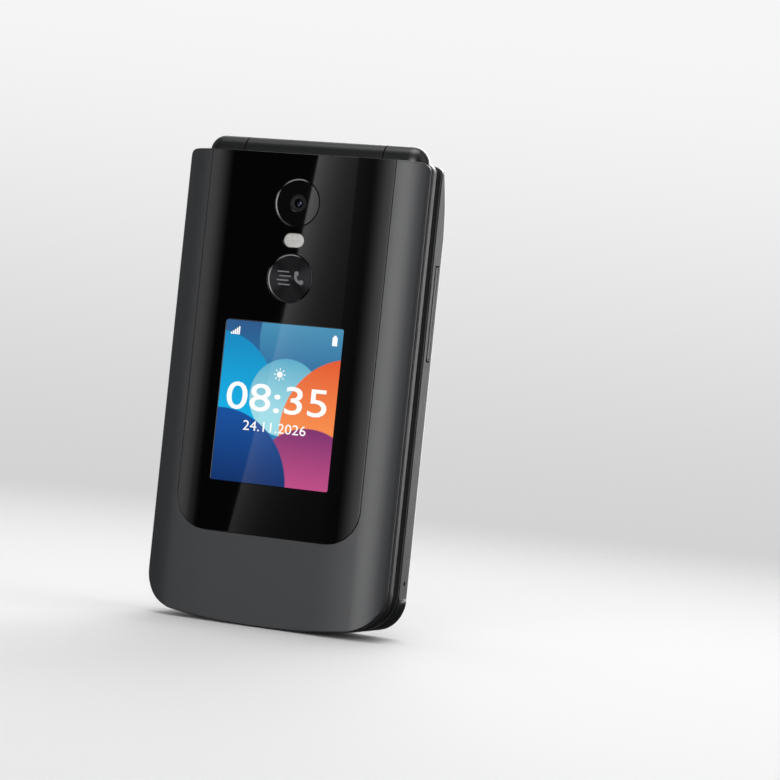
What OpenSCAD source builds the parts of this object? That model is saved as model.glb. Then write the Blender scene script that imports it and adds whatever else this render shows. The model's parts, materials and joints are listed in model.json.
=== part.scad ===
// Flip phone with a keypad base, a hinged display lid and a friction hinge across its top end.
// It stands closed on its bottom end: +Z runs up to the hinge, -Y is out of the lid, +X is its right side.
// Each module draws its piece lying on its back, with +Y toward the hinge and +Z out of the lid, and
// stand() sets it upright. The dimensions below are in that lying position.

/* [Body] */
// Width of the closed phone
body_w = 57.5; // [56:0.5:60]
// Thickness of the closed phone
body_t = 18.9; // [18.7:0.1:19.5]
// Distance from the origin to the lowest point of the curved bottom end
bottom_y = 53.2; // [52:0.1:56]
// Distance from the origin to the flat hinge end of both halves
end_y = 49.43; // [49.3:0.01:49.5]
// Radius of the shallow arc of the bottom end
bottom_r = 165; // [140:5:220]
// Corner radius at the bottom end, seen from the front
corner_r = 9; // [7:0.5:11]
// Corner radius at the hinge end, seen from the front
top_corner_r = 2; // [1.5:0.1:3]
// Half width of the flat middle of the lid and of the back
flat_half = 13.5; // [12:0.5:15]
// Radius of the gentle crown beside that flat
crown_r = 64; // [50:1:90]
// Turn of the crown, in degrees
crown_a = 7.1; // [5:0.1:9]
// Radius of the tight edge where a face turns into the side
edge_r = 1.75; // [1.6:0.05:2]
// Slope at which that tight edge starts, in degrees
edge_a = 35; // [30:1:40]
// Thickness of the lid shell and of the back cover
skin_t = 1.5; // [1.3:0.1:1.6]
// Thickness of the side walls
wall_t = 1.8; // [1.6:0.1:2]

/* [Back] */
// Place along Y where the back starts to curve up to the hinge
taper_y = 31.4; // [28:0.1:36]
// Radius of that curve
taper_r = 48; // [44:1:60]

/* [Hinge] */
// Radius of the hinge barrel
barrel_r = 3.6; // [3.4:0.1:3.7]
// Height of the hinge axis over the back
hinge_z = 10.4; // [10.2:0.1:10.6]
// Distance of the hinge axis from the origin, along Y
hinge_y = 49.6; // [49.5:0.1:49.8]
// Half length of the whole barrel, with its round ends
barrel_half = 26; // [25:0.5:26.5]
// Half length of the lid's middle knuckle, at the seam
seam_x = 16.5; // [15:0.5:18]

/* [Front panel] */
// Width of the gloss panels on the lid and the back
panel_w = 43.8; // [42:0.2:46]
// Thickness of the gloss panels
panel_t = 0.95; // [0.8:0.05:1.0]
// Lowest edge of the lid's gloss panel, along Y
panel_y = -33.6; // [-36:0.2:-32]
// Corner radius of the lid's gloss panel
panel_r = 7.5; // [6:0.5:9]
// Width of the outer display's picture
small_screen_w = 28.03; // [26:0.01:28.03]
// Height of the outer display's picture
small_screen_h = 35.04; // [33:0.01:36]
// Middle of the outer display, along Y
small_screen_y = -5.07; // [-6:0.01:-4]
// Diameter of the camera window
camera_d = 10.5; // [9:0.1:11]
// Place of the camera along Y
camera_y = 38.65; // [38:0.05:39]
// Place of the flash window along Y
flash_y = 30.54; // [30:0.02:31]
// Diameter of the round key on the lid
round_key_d = 10.4; // [9:0.1:10.6]
// Place of the round key along Y
round_key_y = 22.32; // [21.8:0.02:22.6]

/* [Back panel] */
// Lowest edge of the gloss panel on the back, along Y
back_panel_y = 22.5; // [20:0.5:24]
// Corner radius of that panel
back_panel_r = 6.5; // [5:0.5:8]
// Length of each loudspeaker slot
slot_l = 11.7; // [10:0.1:12]
// Height of each loudspeaker slot
slot_h = 1.5; // [1.2:0.1:1.8]
// Place of the slots' middle along X
slot_x = 0.8; // [0:0.1:1]

/* [Keypad] */
// Column pitch of the keys
key_dx = 16.2; // [16:0.1:16.4]
// Row pitch of the number keys
key_dy = 9.9; // [9.8:0.1:10]
// Width of a number key
key_w = 14.6; // [14:0.1:14.8]
// Height of a number key
key_h = 8.4; // [8:0.1:8.5]
// Travel of every key
key_travel = 0.25; // [0.2:0.05:0.25]
// Middle of the navigation ring, along Y
nav_y = 20; // [19:0.5:21]
// Outer radius of the navigation ring
nav_r = 10.4; // [10:0.1:10.4]
// Radius of the middle key
ok_r = 4.9; // [4.5:0.1:5]

/* [Sides] */
// Length of the volume key
volume_l = 20.5; // [18:0.5:22]
// Middle of the volume key, along Y
volume_y = 17.75; // [16:0.25:19]
// Diameter of the headset socket
jack_d = 3.54; // [3.54:0.01:3.6]
// Place of the headset socket along Y
jack_y = 25.9; // [25:0.1:27]

/* [Hidden] */
$fn = 48;

// Colours of the finishes
graphite = "#4b4c4e";
side_graphite = "#37383a";
gloss_black = "#08080a";
matt_black = "#151516";
key_black = "#1d1d1f";
steel = "#b9bcc0";
board_green = "#1f4a34";
amber = "#b3742a";

// Gaps: between fixed neighbours, round a moving piece, and of a running fit
gap = 0.05;
play = 0.15;
fit = 0.05;
far = 60;        // half size of a cutting block

// Heights over the back
plate_z = 6.3;        // plate over the battery
plate_t = 0.6;
board_z = 7.0;
board_t = 0.8;
mat_z = 7.9;
mat_t = 0.25;
flange_z = 8.5;
flange_t = 0.25;
base_frame_top = 8.77;
bezel_z = base_frame_top + 0.03;
base_face = 9.9;
key_top = 10.15;
lid_face = 10.5;
glass_t = 0.7;
lid_frame_z = 12.1;
floor_z = 12.85;      // lid frame's floor over the main display
floor_t = 0.75;
lid_board_z = 13.7;
lid_board_t = 0.5;
side_z = 6.3;         // middle of the keys and holes in the side walls

// Faces: a flat, a gentle crown, a rounder shoulder and a tight edge, all tangent
half_w = body_w / 2;
crown_end = flat_half + crown_r * sin(crown_a);
shoulder_r = (half_w - crown_end - edge_r * (1 - sin(edge_a))) / (sin(edge_a) - sin(crown_a));
shoulder_c = [crown_end - shoulder_r * sin(crown_a),
              -crown_r + (crown_r - shoulder_r) * cos(crown_a)];
edge_c = shoulder_c + (shoulder_r - edge_r) * [sin(edge_a), cos(edge_a)];
lid_part_z = body_t + edge_c[1];      // lowest edge of the lid shell at the sides
thin_edge = 0.05;
section_depth = 12;

function arc(c, r, a0, a1, n) = [for (i = [0:n]) c + r * [cos(a0 + (a1 - a0) * i / n),
                                                         sin(a0 + (a1 - a0) * i / n)]];
function rounded(points) = [for (p = points) [round(p[0] * 1000) / 1000, round(p[1] * 1000) / 1000]];
function flipped(points) = [for (i = [len(points) - 1:-1:0]) [-points[i][0], points[i][1]]];

// Half of a face's cross-section, set in by e from the outside
function crown(e) = rounded(concat(
    arc([flat_half, -crown_r], crown_r - e, 90, 90 - crown_a, 6),
    arc(shoulder_c, shoulder_r - e, 90 - crown_a, 90 - edge_a, 14),
    arc(edge_c, max(edge_r - e, thin_edge), 90 - edge_a, 0, 9)));
function section(e) = let (h = crown(e), x = h[len(h) - 1][0])
    concat(h, [[x, -section_depth], [-x, -section_depth]], flipped(h));

// Outline seen from the front, set in by d, and by e at the hinge end
function outline(d, e) = let (
        top = end_y - e,
        r = max(corner_r - d, 0.5),
        big = bottom_r - d,
        x = half_w - d - r,
        swing = asin(x / (big - r)),
        c = [x, bottom_r - bottom_y - (big - r) * cos(swing)],
        rt = max(top_corner_r - d, 0.3),
        half = concat(arc([0, bottom_r - bottom_y], big, 270, 270 + swing, 5),
                      arc(c, r, 270 + swing + 7, 360, 11),
                      arc([half_w - d - rt, top - rt], rt, 0, 90, 4)))
    concat(half, [for (i = [len(half) - 1:-1:1]) [-half[i][0], half[i][1]]]);
function round_rect(w, h, r) = concat(
    arc([w / 2 - r, h / 2 - r], r, 0, 90, 5), arc([r - w / 2, h / 2 - r], r, 90, 180, 5),
    arc([r - w / 2, r - h / 2], r, 180, 270, 5), arc([w / 2 - r, r - h / 2], r, 270, 360, 5));

module prism(d, z0, z1, e = undef) {
    translate([0, 0, z0]) linear_extrude(z1 - z0) polygon(outline(d, is_undef(e) ? d : e));
}
// The same with its upper edge chamfered by c
module edged(z0, z1, c) {
    hull() {
        prism(0, z0, z1 - c);
        prism(c * 0.8, z1 - c, z1);
    }
}
// A block between two corners
module block(a, b) {
    translate(a) cube(b - a);
}
module pad(w, h, r, x, y, z0, z1) {
    translate([x, y, z0]) linear_extrude(z1 - z0) polygon(round_rect(w, h, r));
}
module rod(r, x0, x1, y = hinge_y, z = hinge_z) {
    translate([x0, y, z]) rotate([0, 90, 0]) cylinder(r = r, h = x1 - x0);
}
// Everything under the lid's face, set in by e
module lid_form(e) {
    translate([0, far, body_t]) rotate([90, 0, 0]) linear_extrude(2 * far) polygon(section(e));
}
// Everything over the back's face, set in by e, with its curve up to the hinge
module base_form(e) {
    sweep_a = 35;
    s = section(e);
    translate([0, taper_y, 0]) mirror([0, 0, 1]) rotate([90, 0, 0])
        linear_extrude(taper_y + far) polygon(s);
    translate([0, taper_y, taper_r]) rotate([0, 90, 0])
        rotate_extrude(angle = sweep_a, $fn = 144) polygon([for (p = s) [taper_r + p[1], p[0]]]);
}
// Everything more than z0 over the middle of the back
module back_slab(z0) {
    translate([0, 0, z0]) {
        block([-far, -far, 0], [far, taper_y, far]);
        intersection() {
            block([-far, taper_y - 1, 0], [far, taper_y + 30, far]);
            rod(taper_r, -far, far, taper_y, taper_r);
        }
    }
}
module stadium(l, h, x, y, z0, z1) {
    pad(l, h, h / 2 - 0.01, x, y, z0, z1);
}
// Both end knuckles with their round ends, grown by g
module end_knuckles(g) {
    inner_x = seam_x + play - g;
    round_end = [for (p = arc([0, barrel_half - barrel_r], barrel_r + g, 0, 90, 9)) p];
    for (s = [-1, 1]) translate([0, hinge_y, hinge_z]) rotate([0, s * 90, 0])
        rotate_extrude() polygon(concat([[0, inner_x], [barrel_r + g, inner_x]], round_end));
}
module middle_knuckle(g) {
    rod(barrel_r + g, -seam_x + play - g, seam_x - play + g);
}

// ---- Base ----
cover_t = skin_t - 0.2;
cover_inset = 0.6;      // back cover's edge, in from the frame's
cover_half = 27.95;
cover_top = 4.1;        // top of the cover's edge over the back
barrel_gap = 0.3;
shroud_t = 0.8;
slot_ys = [39.2, 34.3, 30.2];
strap_ys = [39.35, 35.25];
strap_hole = [2.2, 2.6];
strap_z = 6.8;
post_x = 24.2;
post_ys = [-38, 2];
post_r = 2.2;
post_z = 3.2;
post_top = 7.85;
screw_r = 0.7;
screw_head_r = 1.4;
screw_head_t = 0.8;
screw_z = 3.4;
usb_w = 8.94;
usb_h = 3.2;
usb_z = 5.9;
jack_z = 5.9;
bezel_end = 45.3;       // hinge side of both bezels, between the shoulders
shoulder_x = 26.4;
battery_size = [39, 54, 4.6];
battery_y = -18;

module cover_slots(w, h, z0, z1) {
    for (y = slot_ys) stadium(w, h, slot_x, y, z0, z1);
}
module back_panel_area(d, z1) {
    back_h = end_y - back_panel_y + back_panel_r;
    pad(panel_w - 2 * d, back_h - 2 * d, back_panel_r - d, 0, back_panel_y + back_h / 2, -1, z1);
}
module rear_cover() color(graphite) difference() {
    intersection() {
        prism(cover_inset, 0, 9, 0);
        base_form(0);
        block([-cover_half, -far, 0], [cover_half, far, 9]);
    }
    base_form(cover_t);
    back_slab(cover_top);
    intersection() {
        back_panel_area(0, 8);
        difference() {
            block([-far, 0, -1], [far, far, 8]);
            base_form(panel_t + gap);
        }
    }
    cover_slots(slot_l + 0.6, slot_h + 0.6, -1, 5);
}
module rear_panel() color(gloss_black) difference() {
    intersection() {
        back_panel_area(0.06, 8);
        base_form(0);
        block([-far, 0, 0], [far, end_y, 8]);
    }
    base_form(panel_t);
    cover_slots(slot_l, slot_h, -1, 5);
}
mesh_z = 2.35;
module speaker_mesh() color(matt_black) pad(slot_l + 2, 13, 1, slot_x, 34.7, mesh_z, mesh_z + 0.15);
module loudspeaker() color(matt_black) {
    pad(15, 12.5, 2, slot_x, 34.7, mesh_z + 0.2, 5.4);
}

// The room that the back cover takes up in the frame
module cover_seat() {
    difference() {
        intersection() {
            prism(cover_inset - 0.08, -1, 9, -1);
            block([-cover_half - 0.08, -far, -1], [cover_half + 0.08, far, 9]);
        }
        base_form(cover_t + gap);
        back_slab(cover_top + gap);
    }
}
module base_shell_body() {
    difference() {
        intersection() {
            edged(0, base_frame_top, 0.3);
            base_form(thin_edge);
        }
        prism(wall_t, -1, base_frame_top + 1);
    }
    intersection() {
        prism(0.5, plate_z, plate_z + plate_t);
        block([-far, -far, 0], [far, 11, far]);
    }
    // posts for the screws
    for (x = [-post_x, post_x], y = post_ys) translate([x, y, post_z])
        cylinder(r = post_r, h = post_top - post_z);
    // block that holds the strap bar
    intersection() {
        block([-half_w, 33.2, 4.6], [-24.9, 41.4, base_frame_top]);
        prism(wall_t / 2, 0, base_frame_top);
        base_form(thin_edge);
    }
    // wall round the lid's knuckle
    intersection() {
        rod(barrel_r + barrel_gap + shroud_t, -shoulder_x, shoulder_x);
        prism(wall_t / 2, 3.5, base_frame_top);
    }
}
module base_frame() color(side_graphite) difference() {
    union() {
        base_shell_body();
        end_knuckles(0);
    }
    cover_seat();
    // room for the lid's knuckle
    rod(barrel_r + barrel_gap, -seam_x - play, seam_x + play);
    rod(2.6, seam_x, 23);
    rod(1.95, -23.6, -seam_x);
    // screws
    for (x = [-post_x, post_x], y = post_ys) translate([x, y, 0]) {
        cylinder(r = screw_head_r + 0.1, h = screw_z + screw_head_t);
        cylinder(r = screw_r + 0.02, h = post_top - 0.2);
    }
    // side holes: headset socket, strap holes with their tunnel, volume key, microphone
    rod(jack_d / 2, -half_w - 1, -half_w + 3, jack_y, jack_z);
    for (y = strap_ys) block([-half_w - 1, y - strap_hole[0] / 2, strap_z - strap_hole[1] / 2],
                             [-25.9, y + strap_hole[0] / 2, strap_z + strap_hole[1] / 2]);
    block([-27.2, strap_ys[1], strap_z - strap_hole[1] / 2],
          [-25.9, strap_ys[0], strap_z + strap_hole[1] / 2]);
    block([26, volume_y - volume_l / 2 - 0.2, side_z - 0.85],
          [half_w + 1, volume_y + volume_l / 2 + 0.2, side_z + 0.85]);
    rod(0.5, half_w - 3, half_w + 1, -40.7, side_z);
    // charging socket at the bottom end
    translate([0, -bottom_y + 3, usb_z]) rotate([90, 0, 0])
        linear_extrude(5) polygon(round_rect(usb_w + 0.3, usb_h + 0.3, 1.6));
    block([-5.3, -bottom_y + 1.9, 4], [5.3, -44.9, 8]);
    // notch beside the headset socket
    block([-27.2, jack_y - 3.2, 3.5], [-14, jack_y + 3.2, 8.1]);
}
function key_places() = concat(
    [for (row = [0:3], col = [-1:1]) [col * key_dx, -14.3 - row * key_dy, key_w, key_h]],
    [for (col = [-1:1]) [col * key_dx, -3.4, key_w, 8.4]],
    [for (s = [-1, 1]) [s * 19, nav_y + 7.2, 9.6, 9.2]],
    [for (s = [-1, 1]) [s * 19, nav_y - 6.4, 9.6, 9.2]]);
KEY = key_places();
key_round = 2.2;

module keypad_bezel() color(matt_black) difference() {
    prism(0.6, bezel_z, base_face);
    block([-shoulder_x, bezel_end, 0], [shoulder_x, far, far]);
    for (k = KEY) pad(k[2] + 2 * play, k[3] + 2 * play, key_round, k[0], k[1], 0, far);
    translate([0, nav_y, 0]) cylinder(r = nav_r + 0.3, h = far, $fn = 96);
}
module keypad_mat() color("#2a2a2c") pad(49.6, 79.5, 3, 0, -9.5, mat_z, mat_z + mat_t);
module main_board() color(board_green) difference() {
    pad(43.4, 89, 2, 0, -2.6, board_z, board_z + board_t);
    block([-5.4, -far, 0], [5.4, -44.8, far]);
    block([-far, jack_y - 3.3, 0], [-13.9, jack_y + 3.3, far]);
}
module shield_can() color(steel) pad(30, 12, 1, 4, 17.5, 4.6, board_z - gap);
module battery() color("#2c2d30") {
    pad(battery_size[0], battery_size[1], 2, 0, battery_y, 1.6, 1.6 + battery_size[2]);
}
module usb_port() color(steel) difference() {
    outer = round_rect(usb_w, usb_h, usb_h / 2 - 0.01);
    inner = round_rect(usb_w - 0.6, usb_h - 0.6, usb_h / 2 - 0.31);
    union() {
        translate([0, -bottom_y + 7.4, usb_z]) rotate([90, 0, 0]) linear_extrude(7) polygon(outer);
    }
    difference() {
        translate([0, -bottom_y + 6.8, usb_z]) rotate([90, 0, 0]) linear_extrude(8) polygon(inner);
        block([-3.35, -bottom_y + 1.5, usb_z - 0.35], [3.35, -44, usb_z + 0.35]);
    }
}
module headset_jack() color(matt_black) difference() {
    block([-26.9, jack_y - 3, 3.9], [-14.4, jack_y + 3, 7.9]);
    rod(jack_d / 2, -far, -15.4, jack_y, jack_z);
}
module vibration_motor() color(steel) translate([15, 37, 3.2]) cylinder(r = 4, h = 2.7);
module volume_key() color(side_graphite) {
    translate([half_w - 1.7, volume_y, side_z]) rotate([0, 90, 0])
        linear_extrude(1.7) polygon(round_rect(1.4, volume_l, 0.65));
}
module base_screws() color(steel) for (x = [-post_x, post_x], y = post_ys)
    translate([x, y, screw_z]) difference() {
        union() {
            cylinder(r = screw_head_r, h = screw_head_t);
            cylinder(r = screw_r, h = 4);
        }
        translate([0, 0, -0.1]) cylinder(r = 0.6, h = 0.5, $fn = 6);
    }

// ---- Keys ----
// Key number i of the keypad: a cap, with a flange that holds it under the bezel
module keypad_key(i) color(key_black) {
    k = KEY[i];
    flange_w = 0.45;
    pad(k[2] + 2 * flange_w, k[3] + 2 * flange_w, key_round, k[0], k[1],
        flange_z, flange_z + flange_t);
    pad(k[2], k[3], key_round - play, k[0], k[1], flange_z, key_top);
}
carrier_z = 8.38;
carrier_t = 0.15;
module nav_carrier() color("#2a2a2c") translate([0, nav_y, carrier_z]) difference() {
    cylinder(r = nav_r + 0.5, h = carrier_t, $fn = 96);
    translate([0, 0, -1]) cylinder(r = ok_r + 0.7, h = 3);
}
module nav_ring() color(key_black) translate([0, nav_y, 9.0]) difference() {
    cylinder(r = nav_r, h = key_top - 9.0 - 0.1, $fn = 96);
    translate([0, 0, -1]) cylinder(r = ok_r + 0.35, h = 3, $fn = 64);
}
module ok_key() color(key_black) translate([0, nav_y, flange_z]) {
    cylinder(r = ok_r + 0.2, h = flange_t);
    cylinder(r = ok_r, h = key_top - flange_z, $fn = 64);
}

// ---- Lid ----
shell_inset = 0.15;
shell_shift = 0.2;       // extra inset of the shell at the bottom end
web_z = body_t - skin_t;
module panel_area(d, z0, z1) {
    h = end_y - panel_y + panel_r;
    pad(panel_w - 2 * d, h - 2 * d, panel_r - d, 0, panel_y + h / 2, z0, z1);
}
module shell_plan(d, z0, z1) {
    translate([0, shell_shift, 0]) prism(shell_inset + d, z0, z1, shell_inset + d + shell_shift);
}
module lid_shell() color(graphite) difference() {
    intersection() {
        shell_plan(0, lid_part_z, body_t);
        lid_form(0);
    }
    lid_form(skin_t);
    // recess of the gloss panel
    difference() {
        panel_area(0, 16, far);
        lid_form(panel_t + gap);
    }
    translate([0, small_screen_y, 0]) pad(small_screen_w, small_screen_h, 0.5, 0, 0, 10, far);
    translate([0, camera_y, 10]) cylinder(r = 2.4, h = far);
    stadium(4.9, 3.2, 0, flash_y, 10, far);
    translate([0, round_key_y, 10]) cylinder(d = round_key_d + 2 * play, h = far);
}
module front_panel() color(gloss_black) difference() {
    intersection() {
        panel_area(0.06, 16, far);
        lid_form(0);
        block([-far, -far, 0], [far, end_y - shell_inset, far]);
    }
    lid_form(panel_t);
    pad(small_screen_w, small_screen_h, 0.5, 0, small_screen_y, 10, far);
    translate([0, camera_y, 10]) cylinder(d = camera_d, h = far, $fn = 64);
    stadium(4.9, 3.2, 0, flash_y, 10, far);
    translate([0, round_key_y, 10]) cylinder(d = round_key_d + 2 * play, h = far, $fn = 64);
}
window_z = body_t - panel_t - gap;      // seat of the camera window and of the panel
module camera_window() color("#141416") difference() {
    translate([0, camera_y, window_z]) cylinder(d = camera_d - 0.06, h = panel_t - gap, $fn = 64);
    translate([0, camera_y, 10]) cylinder(r = 1.93, h = far);
}
module camera_lens() color("#20242c") {
    translate([0, camera_y, window_z - 0.3]) cylinder(r = 1.9, h = 1.0);
}
module camera_module() color(matt_black) {
    pad(8.6, 8.6, 0.8, 0, camera_y, floor_z + floor_t + gap, 15.6);
    translate([0, camera_y, 15.4]) cylinder(r = 3.4, h = 1.9);
    translate([0, camera_y, 17.2]) cylinder(r = 2.1, h = 0.4);
}
module flash_lens() color("#d9d9d6") stadium(4.84, 3.14, 0, flash_y, 17.0, body_t - 0.08);
round_key_top = body_t - 0.1;
module round_key() color(gloss_black) translate([0, round_key_y, 0]) {
    translate([0, 0, 14.85]) cylinder(r = 1.5, h = 3);
    translate([0, 0, 16.85]) cylinder(d = round_key_d + 1, h = 0.45, $fn = 64);
    translate([0, 0, 16.85]) cylinder(d = round_key_d, h = round_key_top - 16.85, $fn = 64);
}
module outer_display() color("#2b6d9c") {
    pad(31.5, 40, 0.5, 0, small_screen_y, 15.6, web_z - 2 * gap);
    pad(small_screen_w - 0.06, small_screen_h - 0.06, 0.45, 0, small_screen_y,
        15.6, body_t - 0.02);
}
lid_step = 0.25;         // shadow line between the lid frame and the shell
lid_chamfer = 0.4;
lid_edge = 0.9;          // depth of the shell's edge at the bottom end
flex_x = 4.7;
flex_w = 3.4;
module lid_shell_body() {
    difference() {
        intersection() {
            union() {
                prism(thin_edge, lid_frame_z, body_t);
                edged(lid_frame_z, lid_part_z - lid_step, lid_chamfer);
            }
            union() {
                lid_form(lid_edge);
                block([-half_w, -far, lid_frame_z], [half_w, far, lid_part_z - lid_step]);
            }
        }
        // seat of the shell
        difference() {
            shell_plan(-0.08, lid_part_z - gap, far);
            lid_form(skin_t + gap);
        }
        prism(wall_t, 0, far);
    }
    prism(wall_t - 0.1, floor_z, floor_z + floor_t);
    // wall round the base's knuckles
    intersection() {
        rod(barrel_r + barrel_gap + shroud_t, -shoulder_x, shoulder_x);
        prism(wall_t / 2, lid_frame_z, body_t - skin_t - gap);
    }
}
receiver_y = -47.3;
lid_post_x = 25.6;
lid_screw_head_r = 1.2;
bumper_r = 1.25;
lid_post_ys = [-40, 36];
module lid_frame() color(side_graphite) difference() {
    union() {
        lid_shell_body();
        middle_knuckle(0);
        intersection() {
            lid_form(skin_t + 2 * gap);
            for (x = [-lid_post_x, lid_post_x], y = lid_post_ys)
                translate([x, y, lid_frame_z]) cylinder(r = 1.9, h = 4.6);
        }
    }
    // room for the base's knuckles
    end_knuckles(barrel_gap);
    // bores of the knuckle: cartridge on the left, bush and flex on the right
    rod(2.6, -seam_x, 0.3);
    rod(2.6, 2, seam_x);
    block([flex_x - 0.3, 46.6, hinge_z + 1], [flex_x + flex_w + 0.3, 48.6, 15.2]);
    for (x = [-lid_post_x, lid_post_x], y = lid_post_ys)
        translate([x, y, 10]) cylinder(r = screw_r + 0.02, h = 5.1);
    // openings in the floor for the receiver and the display's flex
    pad(12.2, 6.2, 0.6, 0, receiver_y, 10, floor_z + 1);
    block([-8, 30, 12], [8, 32.5, floor_z + 1]);
}
display_y = -4;
display_h = 74;
display_w = 47.6;
module lid_bezel() color(matt_black) difference() {
    prism(0.6, lid_face, lid_frame_z - gap);
    block([-shoulder_x, bezel_end, 0], [shoulder_x, far, far]);
    pad(display_w, display_h, 2, 0, display_y, 0, lid_face + glass_t + gap);
    pad(display_w - 3, display_h - 3, 1, 0, display_y, 0, far);
    stadium(13, 1.9, 0, receiver_y, 0, far);
    for (x = [-lid_post_x, lid_post_x], y = lid_post_ys) translate([x, y, 0])
        cylinder(r = screw_r + 0.1, h = far);
    for (x = [-lid_post_x, lid_post_x], y = lid_post_ys) translate([x, y, 0])
        cylinder(r = bumper_r + gap, h = lid_face + 0.95);
}
module display_glass() color(gloss_black) {
    pad(display_w - 0.1, display_h - 0.1, 1.95, 0, display_y, lid_face + gap, lid_face + glass_t);
}
module main_display() color("#1a1b20") {
    pad(display_w - 3.6, display_h - 3.6, 0.8, 0, display_y, lid_face + glass_t + gap,
        floor_z - gap);
}
module earpiece_mesh() color("#2b2c2e") stadium(12.9, 1.8, 0, receiver_y, 10.75, 10.95);
module receiver() color(steel) pad(12, 6, 0.6, 0, receiver_y, 12.2, 14.6);
module lid_bumpers() color("#202022") for (x = [-lid_post_x, lid_post_x], y = lid_post_ys)
    translate([x, y, 10.05]) cylinder(r = bumper_r, h = 0.7);
module lid_board() color(board_green) {
    pad(42, 58, 1.5, 0, 1, lid_board_z, lid_board_z + lid_board_t);
    translate([0, round_key_y, lid_board_z]) cylinder(r = 2.2, h = 0.78);
    pad(2.6, 1.8, 0.2, 0, flash_y - 1.4, lid_board_z, 15.2);
}
module lid_flex() color(amber) {
    rod(1.2, 4.4, 22);
    block([flex_x, 47.9, hinge_z - 0.15], [flex_x + flex_w, 49, hinge_z + 0.15]);
    block([flex_x, 47.9, hinge_z - 0.15], [flex_x + flex_w, 48.2, 14.7]);
    block([flex_x, 29.5, 14.4], [flex_x + flex_w, 48.2, 14.7]);
}
module lid_screws() color(steel) for (x = [-lid_post_x, lid_post_x], y = lid_post_ys)
    translate([x, y, 10.8]) difference() {
        union() {
            cylinder(r = lid_screw_head_r, h = 0.6);
            cylinder(r = screw_r, h = 4.2);
        }
        translate([0, 0, -0.1]) cylinder(r = 0.5, h = 0.4, $fn = 6);
    }

// ---- Hinge ----
shaft_r = 1.2;
cartridge_r = 2.55;
module hinge_shaft() color(steel) {
    rod(1.9, -23.4, -seam_x - 0.2);
    rod(shaft_r, -18, -1.2);
}
module hinge_bush() color(steel) difference() {
    rod(cartridge_r, 9.2, 22.9);
    rod(1.7, 9, 23.1);
}
module hinge_cartridge() color("#8d8f93") difference() {
    rod(cartridge_r, -seam_x + play, 0.2);
    rod(2.05, -15.5, -0.8);
    rod(shaft_r + fit, -far, -10);
}
// A stack of dished washers that presses the hinge's detent together
module hinge_spring() color(steel) {
    washer_t = 0.3;
    for (i = [0:5]) translate([-13.5 + i * 1.9, hinge_y, hinge_z]) rotate([0, 90, 0])
        rotate_extrude() polygon([[1.35, 0], [1.95, 0.5], [1.95, 0.5 + washer_t], [1.35, washer_t]]);
}

module stand() {
    translate([0, body_t / 2, bottom_y]) rotate([90, 0, 0]) children();
}

stand() rear_cover();
stand() rear_panel();
stand() speaker_mesh();
stand() loudspeaker();
stand() base_frame();
stand() keypad_bezel();
stand() keypad_mat();
stand() main_board();
stand() shield_can();
stand() battery();
stand() usb_port();
stand() headset_jack();
stand() vibration_motor();
stand() volume_key();
stand() base_screws();
stand() hinge_shaft();
stand() hinge_bush();
stand() keypad_key(0);  // key_1
stand() keypad_key(1);  // key_2
stand() keypad_key(2);  // key_3
stand() keypad_key(3);  // key_4
stand() keypad_key(4);  // key_5
stand() keypad_key(5);  // key_6
stand() keypad_key(6);  // key_7
stand() keypad_key(7);  // key_8
stand() keypad_key(8);  // key_9
stand() keypad_key(9);  // key_star
stand() keypad_key(10);  // key_0
stand() keypad_key(11);  // key_hash
stand() keypad_key(12);  // send_key
stand() keypad_key(13);  // clear_key
stand() keypad_key(14);  // end_key
stand() keypad_key(15);  // left_soft_key
stand() keypad_key(16);  // right_soft_key
stand() keypad_key(17);  // message_key
stand() keypad_key(18);  // menu_key
stand() nav_carrier();
stand() nav_ring();
stand() ok_key();
stand() lid_shell();
stand() front_panel();
stand() camera_window();
stand() camera_lens();
stand() camera_module();
stand() flash_lens();
stand() round_key();
stand() outer_display();
stand() lid_frame();
stand() lid_bezel();
stand() display_glass();
stand() main_display();
stand() earpiece_mesh();
stand() receiver();
stand() lid_bumpers();
stand() lid_board();
stand() lid_flex();
stand() lid_screws();
stand() hinge_cartridge();
stand() hinge_spring();
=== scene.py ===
"""Flip phone: finishes and fine detail of a keypad phone with a hinged display lid."""

import json
import math

import bpy
from mathutils import Matrix, Vector

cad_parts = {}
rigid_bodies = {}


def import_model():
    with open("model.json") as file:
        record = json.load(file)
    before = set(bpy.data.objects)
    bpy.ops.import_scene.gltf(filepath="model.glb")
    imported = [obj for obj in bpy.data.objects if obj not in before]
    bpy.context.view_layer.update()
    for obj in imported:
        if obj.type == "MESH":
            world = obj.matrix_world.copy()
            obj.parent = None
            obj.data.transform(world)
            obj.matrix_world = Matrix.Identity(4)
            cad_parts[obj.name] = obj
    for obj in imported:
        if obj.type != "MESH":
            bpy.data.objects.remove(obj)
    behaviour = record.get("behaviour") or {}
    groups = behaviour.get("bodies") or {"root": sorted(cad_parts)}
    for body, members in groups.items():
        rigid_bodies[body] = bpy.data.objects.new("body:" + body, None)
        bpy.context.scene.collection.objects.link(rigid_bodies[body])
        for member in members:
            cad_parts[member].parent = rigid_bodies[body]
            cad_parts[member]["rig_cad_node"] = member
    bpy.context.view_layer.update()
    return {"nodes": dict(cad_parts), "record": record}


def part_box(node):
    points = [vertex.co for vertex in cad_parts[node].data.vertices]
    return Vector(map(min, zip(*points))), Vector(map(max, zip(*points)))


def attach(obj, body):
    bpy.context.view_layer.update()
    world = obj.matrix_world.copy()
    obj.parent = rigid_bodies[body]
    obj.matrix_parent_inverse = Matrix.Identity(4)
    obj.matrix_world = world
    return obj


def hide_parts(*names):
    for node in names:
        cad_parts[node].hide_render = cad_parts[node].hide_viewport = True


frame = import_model()

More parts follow.
